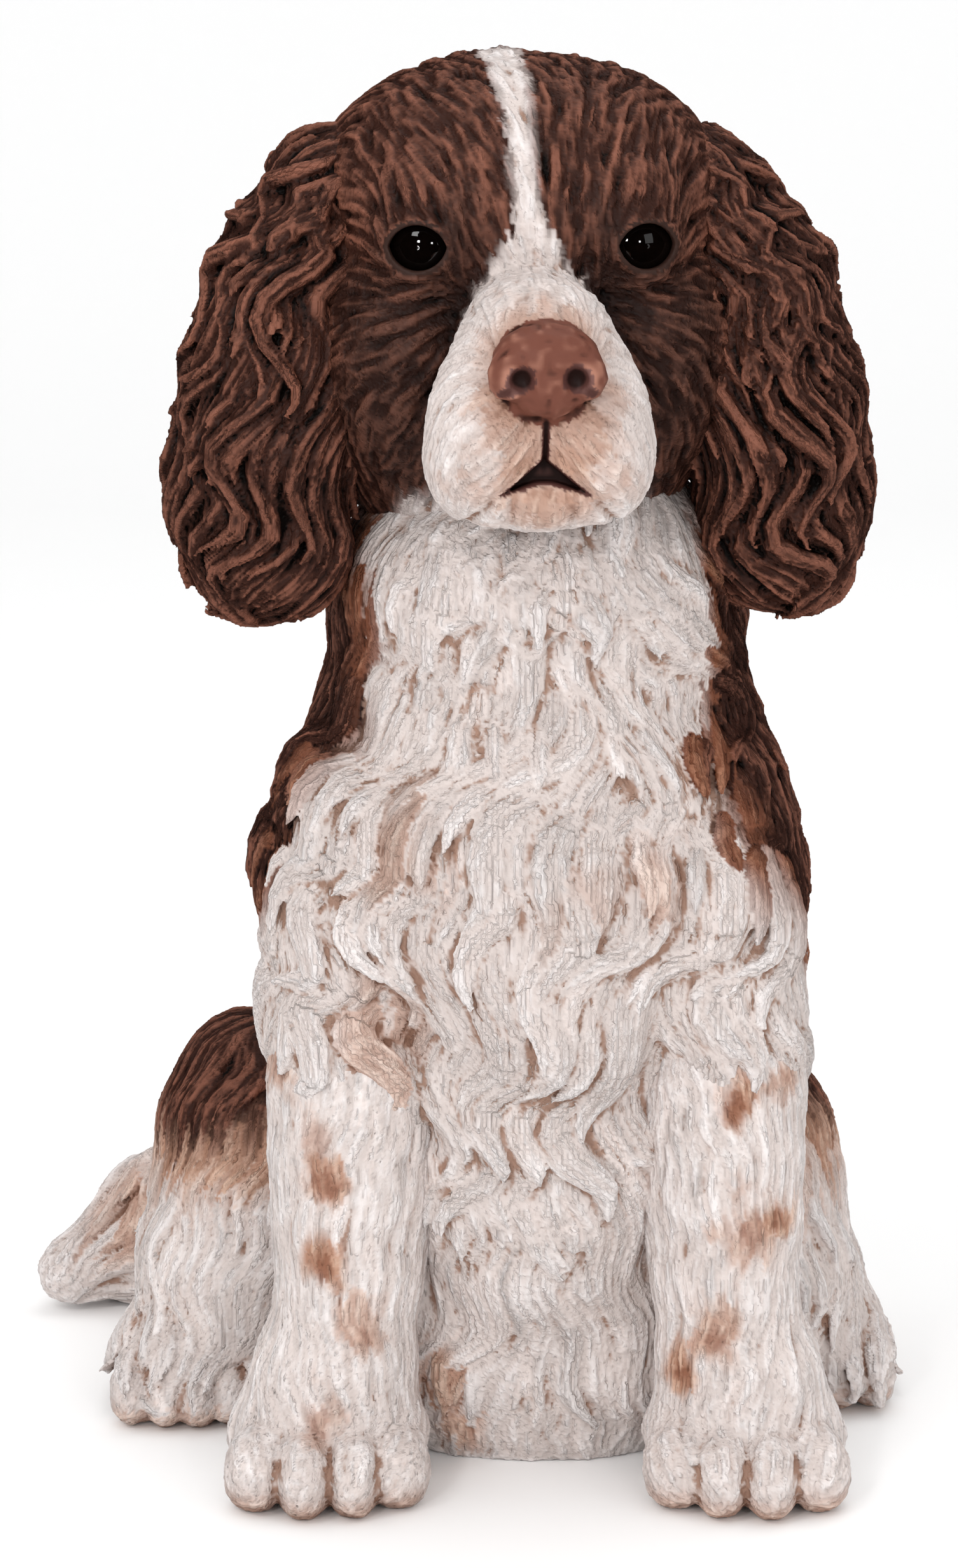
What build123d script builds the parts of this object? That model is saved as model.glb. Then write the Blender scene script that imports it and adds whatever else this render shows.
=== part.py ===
"""Sitting spaniel figurine, cast in hollow and solid pieces that are cemented together.

The dog faces -Y and +Z is up. The origin is on the resting plane, on the body's middle
plane. The dog's own left is on +X. All sizes are in millimetres.
"""
from build123d import *
import os

# ---- driving dimensions ----
NECK_Z = 200.0          # height of the neck joint, where the head casting sits on the torso
HEAD_PLACE = (-3.5, -20.0, NECK_Z)
HEAD_YAW = 3.5          # the head turns a little towards the dog's left

SPIGOT_R = 15.0         # locating spigot on top of the neck
SPIGOT_H = 7.0
SPIGOT_GAP = 0.25       # cement gap round the spigot
VENT_R = 5.0            # vent between the two hollows

DRAIN_R = 10.0          # drain hole under the torso
DRAIN_Y = 42.0
FLOOR_T = 7.0           # thickness of the torso's floor

EYE_R = 7.5             # radius of the glass eye's girdle
EYE_DOME_R = 8.4        # radius of its dome
EYE_BACK = 4.0          # depth of its flat back behind its centre
EYE_GAP = 0.1
EYE_POCKET = 30.0       # how far the socket is cut forward, well clear of the face
EYE_AT = (20.5, -24.0, 60.5)
EYE_LOOK = (0.25, -1.0, 0.03)

# Level sections, each (height, middle Y, half width, half depth).
TORSO = [
    (0, 38, 44, 47),
    (28, 33, 49, 54),
    (65, 22, 51, 58),
    (100, 6, 54, 56),
    (135, -2, 54, 54),
    (165, -8, 48, 47),
    (NECK_Z, -16, 37, 39),
]
TORSO_HOLLOW = [
    (FLOOR_T, 42, 31, 34),
    (60, 34, 33, 38),
    (105, 16, 34, 33),
    (150, 0, 32, 32),
    (NECK_Z - 12, -10, 20, 22),
]
# Level sections, each (height, middle X, middle Y, half width, half depth), for the dog's left side.
FORELEG = [
    (0, 45, -35, 16, 19),
    (10, 45, -36, 17.5, 20),
    (24, 42, -34, 15.5, 18),
    (45, 39, -32, 15, 16),
    (80, 37, -29, 17, 18.5),
    (108, 36, -24, 18.5, 22),
    (126, 33, -18, 13, 20),
]
HIND_LEG = [
    (0, 51, 44, 19, 42),
    (25, 52, 44, 21, 45),
    (50, 51, 45, 20, 40),
    (70, 48, 46, 15.5, 30),
    (81, 45, 47, 8, 16),
]
HIND_FOOT = [
    (0, 62, 18, 14, 22),
    (10, 62, 19, 14.5, 22.5),
    (19, 61, 23, 10, 18),
    (24, 59, 27, 4, 8),
]
# How much further out the dog's right haunch and foot stand than the left ones.
HAUNCH_SPREAD = 8.0
FOOT_SPREAD = 13.0

# Toes of the fore and hind feet: (radius, pitch, how far the middle pair leads, height).
FORE_TOES = (5.6, 8.2, 3.0, 5.0)
HIND_TOES = (5.0, 7.0, 2.6, 4.4)

# Level sections in the head's frame, each (height, middle X, middle Y, half width, half depth).
EAR = [
    (-20, 58, -4, 8, 10),
    (-12, 58.5, -4, 12.5, 16),
    (4, 56.5, -3, 15.5, 22),
    (20, 54.5, -2, 17.5, 25),
    (40, 53, -1, 17.5, 25),
    (60, 48, 2, 16, 20),
    (74, 43, 5, 13, 14),
    (82, 38, 7, 7, 8),
]
# Upright sections of the head, each (Y, middle height, half width, half height).
HEAD = [
    (52, 52, 14, 16),
    (45, 52, 28, 30),
    (28, 52, 39, 42),
    (4, 50, 43.5, 47),
    (-17, 46, 40, 42),
    (-30, 39, 30, 33),
    (-41, 33, 21.5, 25),
    (-58, 31.5, 19, 22),
    (-66, 33.5, 14, 17),
    (-70, 36.5, 8, 10),
]
NECK = [
    (0, 4, 35, 37),
    (14, 4, 35, 37),
    (32, 6, 30, 34),
]
# Balls blended into the muzzle, each (X, Y, height, radius): flews, nose and chin.
FLEW = (9.5, -54, 21.5, 13.5)
NOSE = (0, -66, 40, 8.5)
CHIN = (0, -52, 15.5, 9)

HEAD_HOLLOW_AT = (0, 12, 50)
HEAD_HOLLOW_R = 30.0
# The tail lies on the ground and curls round the right haunch: (X, Y, heading in degrees, radius).
TAIL = [
    (-4, 84, 172, 10),
    (-32, 97, 165, 14),
    (-64, 103, 180, 18),
    (-92, 94, 208, 15),
    (-110, 80, 228, 4),
]
TAIL_SINK = 0.35        # share of the tail's radius that the resting plane cuts off


def level_loft(sections, flip=1, shift=0.0):
    """Lofts through level ellipses, mirrored to the dog's right side when flip is -1."""
    with BuildPart() as body:
        for height, x, y, half_width, half_depth in sections:
            with BuildSketch(Plane.XY.offset(height)):
                with Locations((flip * (x + shift), y)):
                    Ellipse(half_width, half_depth)
        loft()
    return body.part


def on_middle(sections):
    """Gives middle-plane sections the middle X of zero that level_loft reads."""
    return [(height, 0, y, width, depth) for height, y, width, depth in sections]


def eye_plane(flip):
    """The plane through an eye's centre, square to the way that the eye looks."""
    x, y, z = EYE_AT
    look_x, look_y, look_z = EYE_LOOK
    return Plane(origin=(flip * x, y, z), x_dir=(0, 0, 1), z_dir=(flip * look_x, look_y, look_z))


def make_foot(sections, flip, toes, spread=0.0):
    """A leg or foot with four round toes along the front of its lowest section, cut flat below."""
    x, y, _, half_depth = sections[0][1:]
    radius, pitch, lead, height = toes
    with BuildPart() as foot:
        add(level_loft(sections, flip, spread))
        for step in (-1.5, -0.5, 0.5, 1.5):
            ahead = lead if abs(step) < 1 else 0.0
            with Locations((flip * (x + spread) + step * pitch, y - half_depth + radius - ahead, height)):
                Sphere(radius)
        split(bisect_by=Plane.XY, keep=Keep.TOP)
    return foot.part


def make_hind_leg(flip, tail):
    """A haunch and its foot, relieved where the tail passes."""
    wider = flip < 0
    with BuildPart() as hind_leg:
        add(level_loft(HIND_LEG, flip, HAUNCH_SPREAD if wider else 0.0))
        add(make_foot(HIND_FOOT, flip, HIND_TOES, FOOT_SPREAD if wider else 0.0))
        add(tail, mode=Mode.SUBTRACT)
    return hind_leg.part


def make_tail():
    with BuildPart() as tail:
        for x, y, heading, radius in TAIL:
            height = radius * (1 - TAIL_SINK)
            way = Vector(1, 0, 0).rotate(Axis.Z, heading)
            with BuildSketch(Plane(origin=(x, y, height), x_dir=(0, 0, 1), z_dir=way)):
                Circle(radius)
        loft()
        split(bisect_by=Plane.XY, keep=Keep.TOP)
    return tail.part


def make_torso(seated):
    """The hollow body, with a seat cut for each seated piece."""
    with BuildPart() as torso:
        add(level_loft(on_middle(TORSO)))
        for piece in seated:
            add(piece, mode=Mode.SUBTRACT)
        add(level_loft(on_middle(TORSO_HOLLOW)), mode=Mode.SUBTRACT)
        with BuildSketch():
            with Locations((0, DRAIN_Y)):
                Circle(DRAIN_R)
        extrude(amount=FLOOR_T + 1, mode=Mode.SUBTRACT)
        with BuildSketch(Plane.XY.offset(NECK_Z)):
            with Locations(HEAD_PLACE[:2]):
                Circle(SPIGOT_R)
        extrude(amount=SPIGOT_H)
        with BuildSketch(Plane.XY.offset(NECK_Z + SPIGOT_H)):
            with Locations(HEAD_PLACE[:2]):
                Circle(VENT_R)
        extrude(amount=-(SPIGOT_H + NECK_Z - TORSO_HOLLOW[-1][0] + 6), mode=Mode.SUBTRACT)
    return torso.part


def make_head():
    """The hollow head in its own frame, with its origin in the middle of the neck joint."""
    with BuildPart() as head:
        for y, height, half_width, half_height in HEAD:
            plane = Plane(origin=(0, y, height), x_dir=(1, 0, 0), z_dir=(0, -1, 0))
            with BuildSketch(plane):
                Ellipse(half_width, half_height)
        loft()
        for x, y, height, radius in (FLEW, (-FLEW[0], *FLEW[1:]), NOSE, CHIN):
            with Locations((x, y, height)):
                Sphere(radius)
        add(level_loft(on_middle(NECK)))
        split(bisect_by=Plane.XY, keep=Keep.TOP)
        with Locations(HEAD_HOLLOW_AT):
            Sphere(HEAD_HOLLOW_R, mode=Mode.SUBTRACT)
        with BuildSketch():
            Circle(SPIGOT_R + SPIGOT_GAP)
        extrude(amount=SPIGOT_H + SPIGOT_GAP, mode=Mode.SUBTRACT)
        with BuildSketch():
            Circle(VENT_R)
        extrude(amount=HEAD_HOLLOW_AT[2], mode=Mode.SUBTRACT)
        for flip in (1, -1):
            with BuildSketch(eye_plane(flip).offset(-EYE_BACK - EYE_GAP)):
                Circle(EYE_R + EYE_GAP)
            extrude(amount=EYE_POCKET, mode=Mode.SUBTRACT)
    return head.part


def make_ear(flip, head):
    """A solid ear whose inner side is shaped to the head."""
    with BuildPart() as ear:
        add(level_loft(EAR, flip))
        add(head, mode=Mode.SUBTRACT)
    return ear.part


def make_eye(flip):
    """A glass eye: a domed front on a round girdle with a flat back."""
    face = eye_plane(flip)
    with BuildPart() as eye:
        with BuildSketch(face.offset(-EYE_BACK)):
            Circle(EYE_R)
        extrude(amount=EYE_POCKET)
        with Locations(face):
            Sphere(EYE_DOME_R, mode=Mode.INTERSECT)
    return eye.part


def largest(part):
    """Keeps the main solid where a cut has left crumbs."""
    return max(part.solids(), key=lambda solid: solid.volume)


def write(name, part):
    part.label = name
    export_step(part, f"parts/{name}.step")
    print(name, "volume", round(part.volume), "valid", part.is_valid)


os.makedirs("parts", exist_ok=True)
head_pose = Location(HEAD_PLACE, (0, 0, HEAD_YAW))

tail_part = make_tail()
left_foreleg, right_foreleg = make_foot(FORELEG, 1, FORE_TOES), make_foot(FORELEG, -1, FORE_TOES)
left_hind, right_hind = make_hind_leg(1, tail_part), make_hind_leg(-1, tail_part)
torso_part = make_torso([left_foreleg, right_foreleg, left_hind, right_hind, tail_part])
head_part = make_head()

write("torso", largest(torso_part))
write("foreleg_left", left_foreleg)
write("foreleg_right", right_foreleg)
write("hind_leg_left", left_hind)
write("hind_leg_right", right_hind)
write("tail", tail_part)
write("head", largest(head_part).moved(head_pose))
for side, flip in (("left", 1), ("right", -1)):
    write(f"ear_{side}", largest(make_ear(flip, head_part)).moved(head_pose))
    write(f"eye_{side}", make_eye(flip).moved(head_pose))
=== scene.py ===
"""Looks of the sitting spaniel figurine.

Each casting is sculpted in a block of voxels: a smooth form from blended balls, then locks of fur
laid over it, then the cuts for eyes, nose and mouth. The result is meshed, and painted by where each
lock grows. Lengths are in millimetres until a mesh is made, where they become metres.
"""
import math
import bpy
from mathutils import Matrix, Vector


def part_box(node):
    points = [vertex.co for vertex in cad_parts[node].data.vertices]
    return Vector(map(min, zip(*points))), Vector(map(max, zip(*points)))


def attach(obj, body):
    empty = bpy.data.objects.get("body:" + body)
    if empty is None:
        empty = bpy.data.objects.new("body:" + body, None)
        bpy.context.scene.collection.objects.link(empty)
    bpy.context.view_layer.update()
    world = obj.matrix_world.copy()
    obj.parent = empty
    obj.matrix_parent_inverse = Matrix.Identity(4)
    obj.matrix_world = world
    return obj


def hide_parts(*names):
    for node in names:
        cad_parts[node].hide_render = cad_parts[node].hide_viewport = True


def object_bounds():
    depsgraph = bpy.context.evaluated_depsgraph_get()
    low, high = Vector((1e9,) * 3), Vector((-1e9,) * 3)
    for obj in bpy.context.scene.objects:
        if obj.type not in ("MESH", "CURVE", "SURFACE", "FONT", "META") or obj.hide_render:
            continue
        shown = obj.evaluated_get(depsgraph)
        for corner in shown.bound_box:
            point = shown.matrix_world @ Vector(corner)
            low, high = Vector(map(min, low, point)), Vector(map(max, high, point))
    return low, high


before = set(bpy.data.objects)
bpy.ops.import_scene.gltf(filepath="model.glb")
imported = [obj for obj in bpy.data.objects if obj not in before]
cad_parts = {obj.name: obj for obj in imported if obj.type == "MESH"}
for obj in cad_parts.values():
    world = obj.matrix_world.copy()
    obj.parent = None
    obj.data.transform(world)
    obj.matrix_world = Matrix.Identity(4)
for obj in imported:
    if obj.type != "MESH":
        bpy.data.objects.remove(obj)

from concurrent.futures import ThreadPoolExecutor
from dataclasses import dataclass

import bpy
import numpy as np
import openvdb
from mathutils import Vector

CAD_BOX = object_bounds()
MM = 0.001
STEP = 0.5  # voxel of the head, ears and forelegs
BODY_STEP = 1.1 * STEP  # voxel of the torso, haunches and tail
FORM_STEP = 2.0  # voxel of the smooth form under the fur
REACH = 12.0  # how far from a surface its distances are kept
RELIEF_SPAN = 1.5  # radius over which ridges and grooves are told apart
SOFTENING = 0.5  # radius of one pass that softens the creases between locks
STRAND_WIDTH = 0.75  # fine hairs over the whole coat
STRAND_LENGTH = 7.0
STRAND_DEPTH = 0.16
HAIRLINE = 0.55  # painted hairs across a lock
GUIDE_SPREAD = 30.0  # evens out the pull of the guides close to a point, in mm squared


# ---- noise and interpolation

def noise(points, size, seed):
    """Smooth noise between 0 and 1, with lumps of about that size."""
    table = np.random.default_rng(seed).random((32, 32, 32), dtype=np.float32)
    place = points / size
    cell = np.floor(place).astype(int)
    part = (place - cell).astype(np.float32)
    part = part * part * (3 - 2 * part)
    total = np.zeros(len(points), np.float32)
    for corner in np.ndindex(2, 2, 2):
        at = (cell + corner) % 32
        weight = np.prod(np.where(corner, part, 1 - part), axis=1)
        total += weight * table[at[:, 0], at[:, 1], at[:, 2]]
    return total


def ramp(value, start, end):
    """0 at start and 1 at end, eased at both."""
    share = np.clip((value - start) / (end - start), 0, 1)
    return share * share * (3 - 2 * share)


def unit(vectors):
    """The vectors at length 1."""
    return vectors / np.maximum(np.linalg.norm(vectors, axis=-1, keepdims=True), 1e-6)


def guided(points, guides):
    """Direction at each point, blended from (place, direction) guides, the near ones most."""
    total = np.zeros((len(points), 3))
    for place, direction in guides:
        gap = ((points - place) ** 2).sum(1)
        total += np.outer(1 / (gap + GUIDE_SPREAD) ** 2, direction / np.linalg.norm(direction))
    return unit(total)


# ---- voxel clay

class Clay:
    """A block of voxels that holds the distance to a surface, negative inside it."""

    def __init__(self, low, high, step):
        self.low = np.array(low, float)
        self.step = step
        self.size = np.ceil((np.array(high) - self.low) / step).astype(int) + 1
        self.depth = np.full(self.size, REACH, np.float32)

    def window(self, low, high):
        """Slices of the voxels between two corners, and their three coordinates."""
        low, high = np.array(low, float), np.array(high, float)
        first = np.clip(np.floor((low - self.low) / self.step).astype(int), 0, self.size)
        last = np.clip(np.ceil((high - self.low) / self.step).astype(int) + 1, 0, self.size)
        cells = tuple(slice(a, max(a, b)) for a, b in zip(first, last))
        axes = [self.low[i] + self.step * np.arange(first[i], max(first[i], last[i])) for i in range(3)]
        x, y, z = (axis.astype(np.float32) for axis in axes)
        return cells, (x[:, None, None], y[None, :, None], z[None, None, :])

    def join(self, cells, distance, blend):
        """Adds a shape, with a fillet where it meets what is there."""
        old = self.depth[cells]
        soft = np.maximum(blend - np.abs(old - distance), 0)
        self.depth[cells] = np.minimum(old, distance) - soft * soft / (4 * blend)

    def carve(self, cells, distance, blend):
        """Takes a shape away, with a rounded edge."""
        old = self.depth[cells]
        soft = np.maximum(blend - np.abs(old + distance), 0)
        self.depth[cells] = np.maximum(old, -distance) + soft * soft / (4 * blend)

    def ball(self, centre, radii, blend, carve=False):
        """An ellipsoid, added or carved."""
        centre, radii = np.array(centre, float), np.array(radii, float)
        margin = radii + REACH
        cells, (x, y, z) = self.window(centre - margin, centre + margin)
        x, y, z = x - centre[0], y - centre[1], z - centre[2]
        near = np.sqrt((x / radii[0]) ** 2 + (y / radii[1]) ** 2 + (z / radii[2]) ** 2)
        slope = np.sqrt((x / radii[0] ** 2) ** 2 + (y / radii[1] ** 2) ** 2 + (z / radii[2] ** 2) ** 2)
        distance = near * (near - 1) / np.maximum(slope, 1e-4)
        (self.carve if carve else self.join)(cells, distance, blend)

    def ball_pair(self, centre, radii, blend):
        """An ellipsoid, and its mirror image where it is off the middle plane."""
        for flip in ((1, -1) if centre[0] else (1,)):
            self.ball((flip * centre[0], *centre[1:]), radii, blend)

    def rod(self, start, end, start_r, end_r, blend, carve=False):
        """A round rod between two points, with a radius at each end, added or carved."""
        start, end = np.array(start, float), np.array(end, float)
        margin = max(start_r, end_r) + REACH
        cells, (x, y, z) = self.window(np.minimum(start, end) - margin, np.maximum(start, end) + margin)
        x, y, z = x - start[0], y - start[1], z - start[2]
        run = end - start
        along = np.clip((x * run[0] + y * run[1] + z * run[2]) / (run @ run), 0, 1)
        gap = np.sqrt((x - along * run[0]) ** 2 + (y - along * run[1]) ** 2 + (z - along * run[2]) ** 2)
        distance = gap - (start_r + along * (end_r - start_r))
        (self.carve if carve else self.join)(cells, distance, blend)

    def floor(self):
        """Cuts everything flat at the ground."""
        _, (_, _, z) = self.window(self.low, self.low + self.size * self.step)
        self.depth = np.maximum(self.depth, -z)

    def finer(self, step):
        """The same shape in smaller voxels."""
        fine = Clay(self.low, self.low + (self.size - 1) * self.step, step)
        field = self.depth
        for axis in range(3):
            place = np.arange(fine.size[axis]) * step / self.step
            cell = np.clip(np.floor(place).astype(int), 0, self.size[axis] - 2)
            shape = [1, 1, 1]
            shape[axis] = -1
            share = np.clip(place - cell, 0, 1).astype(np.float32).reshape(shape)
            field = np.take(field, cell, axis) * (1 - share) + np.take(field, cell + 1, axis) * share
        fine.depth = np.ascontiguousarray(field)
        return fine

    def sample(self, points, field=None):
        """The distance, or another field, at each point."""
        field = self.depth if field is None else field
        place = (points - self.low) / self.step
        cell = np.clip(np.floor(place).astype(int), 0, self.size - 2)
        part = np.clip(place - cell, 0, 1).astype(np.float32)
        total = np.zeros(len(points), np.float32)
        for corner in np.ndindex(2, 2, 2):
            weight = np.prod(np.where(corner, part, 1 - part), axis=1)
            at = cell + corner
            total += weight * field[at[:, 0], at[:, 1], at[:, 2]]
        return total

    def outward(self, points):
        """The direction straight out of the surface at each point."""
        slope = np.empty((len(points), 3))
        for axis in range(3):
            shift = np.zeros(3)
            shift[axis] = self.step * 0.75
            slope[:, axis] = self.sample(points + shift) - self.sample(points - shift)
        return unit(slope)

    def surface(self):
        """Vertices and four-cornered faces."""
        grid = openvdb.FloatGrid(background=4 * self.step)
        grid.copyFromArray(np.clip(self.depth, -4 * self.step, 4 * self.step))
        places, faces = grid.convertToQuads(0.0)
        return self.low + places.astype(float) * self.step, faces.astype(np.int32)

    def smoothed(self, radius):
        """The distances averaged over a cube of that radius."""
        count = max(1, round(radius / self.step))
        field = self.depth
        for axis in range(3):
            edge = [(0, 0)] * 3
            edge[axis] = (count + 1, count)
            total = np.cumsum(np.pad(field, edge, mode="edge"), axis=axis, dtype=np.float64)
            size = field.shape[axis]
            last = np.take(total, np.arange(2 * count + 1, 2 * count + 1 + size), axis)
            first = np.take(total, np.arange(size), axis)
            field = ((last - first) / (2 * count + 1)).astype(np.float32)
        return field


# ---- fur

@dataclass
class Coat:
    """One kind of fur, in mm. Gap is between the roots of its locks, and a lock shows so many hairs.

    Swirl is how far the lie of the fur wanders, in radians. Lift is how far the tips stand off the form,
    in lock thicknesses, and groove is how deep the hairs are cut in.
    """
    gap: float
    length: float
    width: float
    thick: float
    hairs: int
    wave: float = 0.0
    wavelength: float = 22.0
    swirl: float = 0.0
    lift: float = 0.35
    groove: float = 0.22


class Fur:
    """Locks that grow over a form and are laid into the finished clay."""

    def __init__(self, form, clay, heading, seed):
        self.form, self.clay, self.heading = form, clay, heading
        self.rng = np.random.default_rng(seed)
        self.spots, _ = form.surface()
        self.middles, self.runs, self.strides = [], [], []
        self.count = 0
        self.depth = np.full(clay.depth.size, REACH, np.float32)
        self.owner = np.full(clay.depth.size, -1, np.int32)
        self.across = np.zeros(clay.depth.size, np.float16)
        self.along = np.zeros(clay.depth.size, np.float16)
        self.groove = np.zeros(clay.depth.size, np.float16)

    def seeds(self, gap, where):
        """Points on the form, about one in each cube of side gap, where that part of it has this fur."""
        spots = self.spots[where(self.spots)]
        spots = spots[self.rng.permutation(len(spots))]
        spots = spots + self.rng.uniform(-0.9, 0.9, spots.shape)
        cubes = np.floor(spots / gap + self.rng.random(3)).astype(int)
        _, first = np.unique(cubes, axis=0, return_index=True)
        return spots[first]

    def grow(self, coat, where):
        """Runs a lock from each seed along the heading, waves it, tapers it and lays it."""
        starts = self.seeds(coat.gap, where)
        number = len(starts)
        scale = self.rng.uniform(0.8, 1.2, number)
        length = coat.length * scale
        parts = int(np.clip(round(coat.length / (3.4 if coat.wave else 4.0)), 2, 14))
        stride = length / parts
        line, out = [], []
        place = starts
        for _ in range(parts + 1):
            normal = self.form.outward(place)
            place = place - normal * self.form.sample(place)[:, None]
            line.append(place)
            out.append(normal)
            way = self.heading(place)
            if coat.swirl:
                bend = coat.swirl * (2 * noise(place, 30.0, 70) - 1)[:, None]
                way = way * np.cos(bend) + np.cross(normal, way) * np.sin(bend)
            way = unit(way - normal * (way * normal).sum(1, keepdims=True))
            place = place + way * stride[:, None]
        line, out = np.stack(line, 1), np.stack(out, 1)
        share = np.linspace(0, 1, parts + 1)
        side = np.cross(out, unit(np.gradient(line, axis=1)))
        if coat.wave:
            down = unit((line[:, -1] - line[:, 0]).mean(0))
            drift = 8 * noise(line.reshape(-1, 3), 1.6 * coat.wavelength, 71).reshape(line.shape[:2])
            own = self.rng.normal(0, 0.2, (number, 1))
            turn = 2 * math.pi * (line @ down) / coat.wavelength + drift + own
            swing = coat.wave * self.rng.uniform(0.7, 1.3, (number, 1)) * np.sin(turn)
            line = line + side * swing[..., None] + out * (0.3 * coat.wave * np.cos(turn))[..., None]
        rise = coat.lift * (2.2 * share - 0.8) + self.rng.uniform(-0.3, 0.3, (number, 1))
        line = line + out * (coat.thick * rise)[..., None]
        side = unit(np.cross(out, unit(np.gradient(line, axis=1))))
        taper = (0.45 + 0.55 * ramp(share, 0, 0.3)) * np.maximum(1 - share ** 2.2, 0.0) ** 0.75
        half = 0.5 * coat.width * scale[:, None] * np.maximum(taper, 0.1)
        self.lay(coat, line, side, out, half, stride)
        self.middles.append(line[:, max(1, parts // 3)])
        self.runs += list(unit(np.diff(line, axis=1)))
        self.strides.append(stride)
        self.count += number

    def lay(self, coat, line, side, out, half, stride):
        """Lays the locks' segments into the clay in blocks of voxels, keeping the nearest lock's number."""
        clay, parts = self.clay, line.shape[1] - 1
        start, run = line[:, :-1].reshape(-1, 3), np.diff(line, axis=1).reshape(-1, 3)
        side, out = side[:, :-1].reshape(-1, 3), out[:, :-1].reshape(-1, 3)
        near_half, far_half = half[:, :-1].ravel(), half[:, 1:].ravel()
        lock = np.repeat(np.arange(len(line)), parts)
        part = np.tile(np.arange(parts), len(line))
        phase = self.rng.uniform(0, 2 * math.pi, len(line))[lock]
        stretch, steep = (coat.width / coat.thick) ** 2 - 1, (coat.width / coat.thick) ** 4 - 1
        band = 2 * clay.step
        margin = np.maximum(near_half, far_half) + 1.2 * clay.step
        corner = np.minimum(start, start + run) - margin[:, None]
        first = np.floor((corner - clay.low) / clay.step).astype(int)
        span = np.ceil((np.abs(run) + 2 * margin[:, None]) / clay.step).astype(int) + 2
        span = (span + 2) // 3 * 3

        def block(job):
            """The voxels near a batch of segments: index, distance, lock number, place in the lock, cut."""
            batch, size = job

            def each(values):
                return values[batch].astype(np.float32).reshape(-1, 1, 1, 1)

            cells, gaps = [], []
            for axis in range(3):
                shape = [len(batch), 1, 1, 1]
                shape[axis + 1] = size[axis]
                cell = first[batch, axis][:, None] + np.arange(size[axis])
                cells.append(cell.reshape(shape))
                gap = clay.low[axis] + clay.step * cell - start[batch, axis][:, None]
                gaps.append(gap.astype(np.float32).reshape(shape))
            x, y, z = gaps
            rx, ry, rz = (each(run[:, axis]) for axis in range(3))
            along = np.clip((x * rx + y * ry + z * rz) * each(1 / np.maximum((run ** 2).sum(1), 1e-6)), 0, 1)
            x, y, z = x - along * rx, y - along * ry, z - along * rz
            across = x * each(side[:, 0]) + y * each(side[:, 1]) + z * each(side[:, 2])
            up = x * each(out[:, 0]) + y * each(out[:, 1]) + z * each(out[:, 2])
            up *= up
            plain = x * x + y * y + z * z
            wide = each(near_half) + along * each(far_half - near_half)
            near = np.sqrt(plain + stretch * up)
            distance = (near - wide) * near / np.sqrt(plain + steep * up + 1e-6)
            groove = coat.groove * (0.5 - 0.5 * np.cos(across * (math.pi * coat.hairs) / wide + each(phase)))
            keep = distance < band
            for cell, size_all in zip(cells, clay.size):
                keep &= (cell >= 0) & (cell < size_all)
            index = ((cells[0] * clay.size[1] + cells[1]) * clay.size[2] + cells[2])[keep]
            numbers = np.broadcast_to(each(lock).astype(np.int32), keep.shape)[keep] + self.count
            length = ((each(part) + along) * each(stride[lock]))[keep]
            return index, distance[keep], numbers, across[keep], length, groove[keep]

        sizes, group = np.unique(span, axis=0, return_inverse=True)
        jobs = []
        for k, size in enumerate(sizes):
            members = np.flatnonzero(group.ravel() == k)
            batch = max(1, int(6e5 // size.prod()))
            jobs += [(members[i:i + batch], size) for i in range(0, len(members), batch)]
        with ThreadPoolExecutor(4) as pool:
            for index, distance, numbers, across, length, groove in pool.map(block, jobs):
                np.minimum.at(self.depth, index, distance)
                own = distance <= self.depth[index]
                index = index[own]
                self.owner[index] = numbers[own]
                self.across[index] = across[own]
                self.along[index] = length[own]
                self.groove[index] = groove[own]

    def directions(self, points, owner, along):
        """Which way the hair lies at each point: along the lock that owns it, or else along the heading."""
        way = self.heading(points)
        held = np.flatnonzero(owner >= 0)
        lock = owner[held]
        parts = np.array([len(run) for run in self.runs])
        first = np.cumsum(parts) - parts
        part = np.minimum((along[held] / np.concatenate(self.strides)[lock]).astype(int), parts[lock] - 1)
        way[held] = np.concatenate(self.runs)[first[lock] + part]
        return way

    def settle(self, blend):
        """Joins the laid locks to the clay, softens the creases between them and cuts the hairs in."""
        clay = self.clay
        locks = self.depth.reshape(clay.size)
        clay.owner = np.where(locks < clay.depth + 0.5 * clay.step, self.owner.reshape(clay.size), -1)
        clay.across, clay.along = self.across.reshape(clay.size), self.along.reshape(clay.size)
        clay.join((slice(None),) * 3, locks, blend)
        clay.depth = np.clip(clay.depth, -3 * clay.step, 3 * clay.step)
        clay.depth = clay.smoothed(SOFTENING)
        clay.depth += self.groove.reshape(clay.size)


# ---- from clay to a piece

def colour(red, green, blue):
    """Linear colour from the usual 0 to 255 numbers."""
    share = np.array([red, green, blue]) / 255
    return np.where(share <= 0.04, share / 12.92, ((share + 0.055) / 1.055) ** 2.4)


# Paints, each as (body, groove, ridge). The groove shade is a dark wash together with painted shade in the
# creases. The ridge shade is dry-brushed paint together with a painted highlight on the crests.
LIVER = (colour(56, 30, 22), colour(11, 4, 2), colour(130, 82, 65))
RUST = (colour(122, 72, 50), colour(58, 28, 18), colour(166, 116, 90))
WHITE = (colour(204, 192, 187), colour(153, 122, 106), colour(223, 216, 214))
TAN = (colour(168, 126, 104), colour(104, 66, 48), colour(204, 172, 152))
NOSE = (colour(112, 66, 53), colour(46, 22, 16), colour(176, 124, 104))
RIM = (colour(34, 20, 16), colour(12, 6, 5), colour(60, 40, 33))
MOUTH = (colour(82, 50, 45), colour(40, 22, 19), colour(120, 84, 78))
NOSE_MARK, RIM_MARK, MOUTH_MARK = -2, -3, -4  # stand in a voxel's owner for a lock's number


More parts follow.
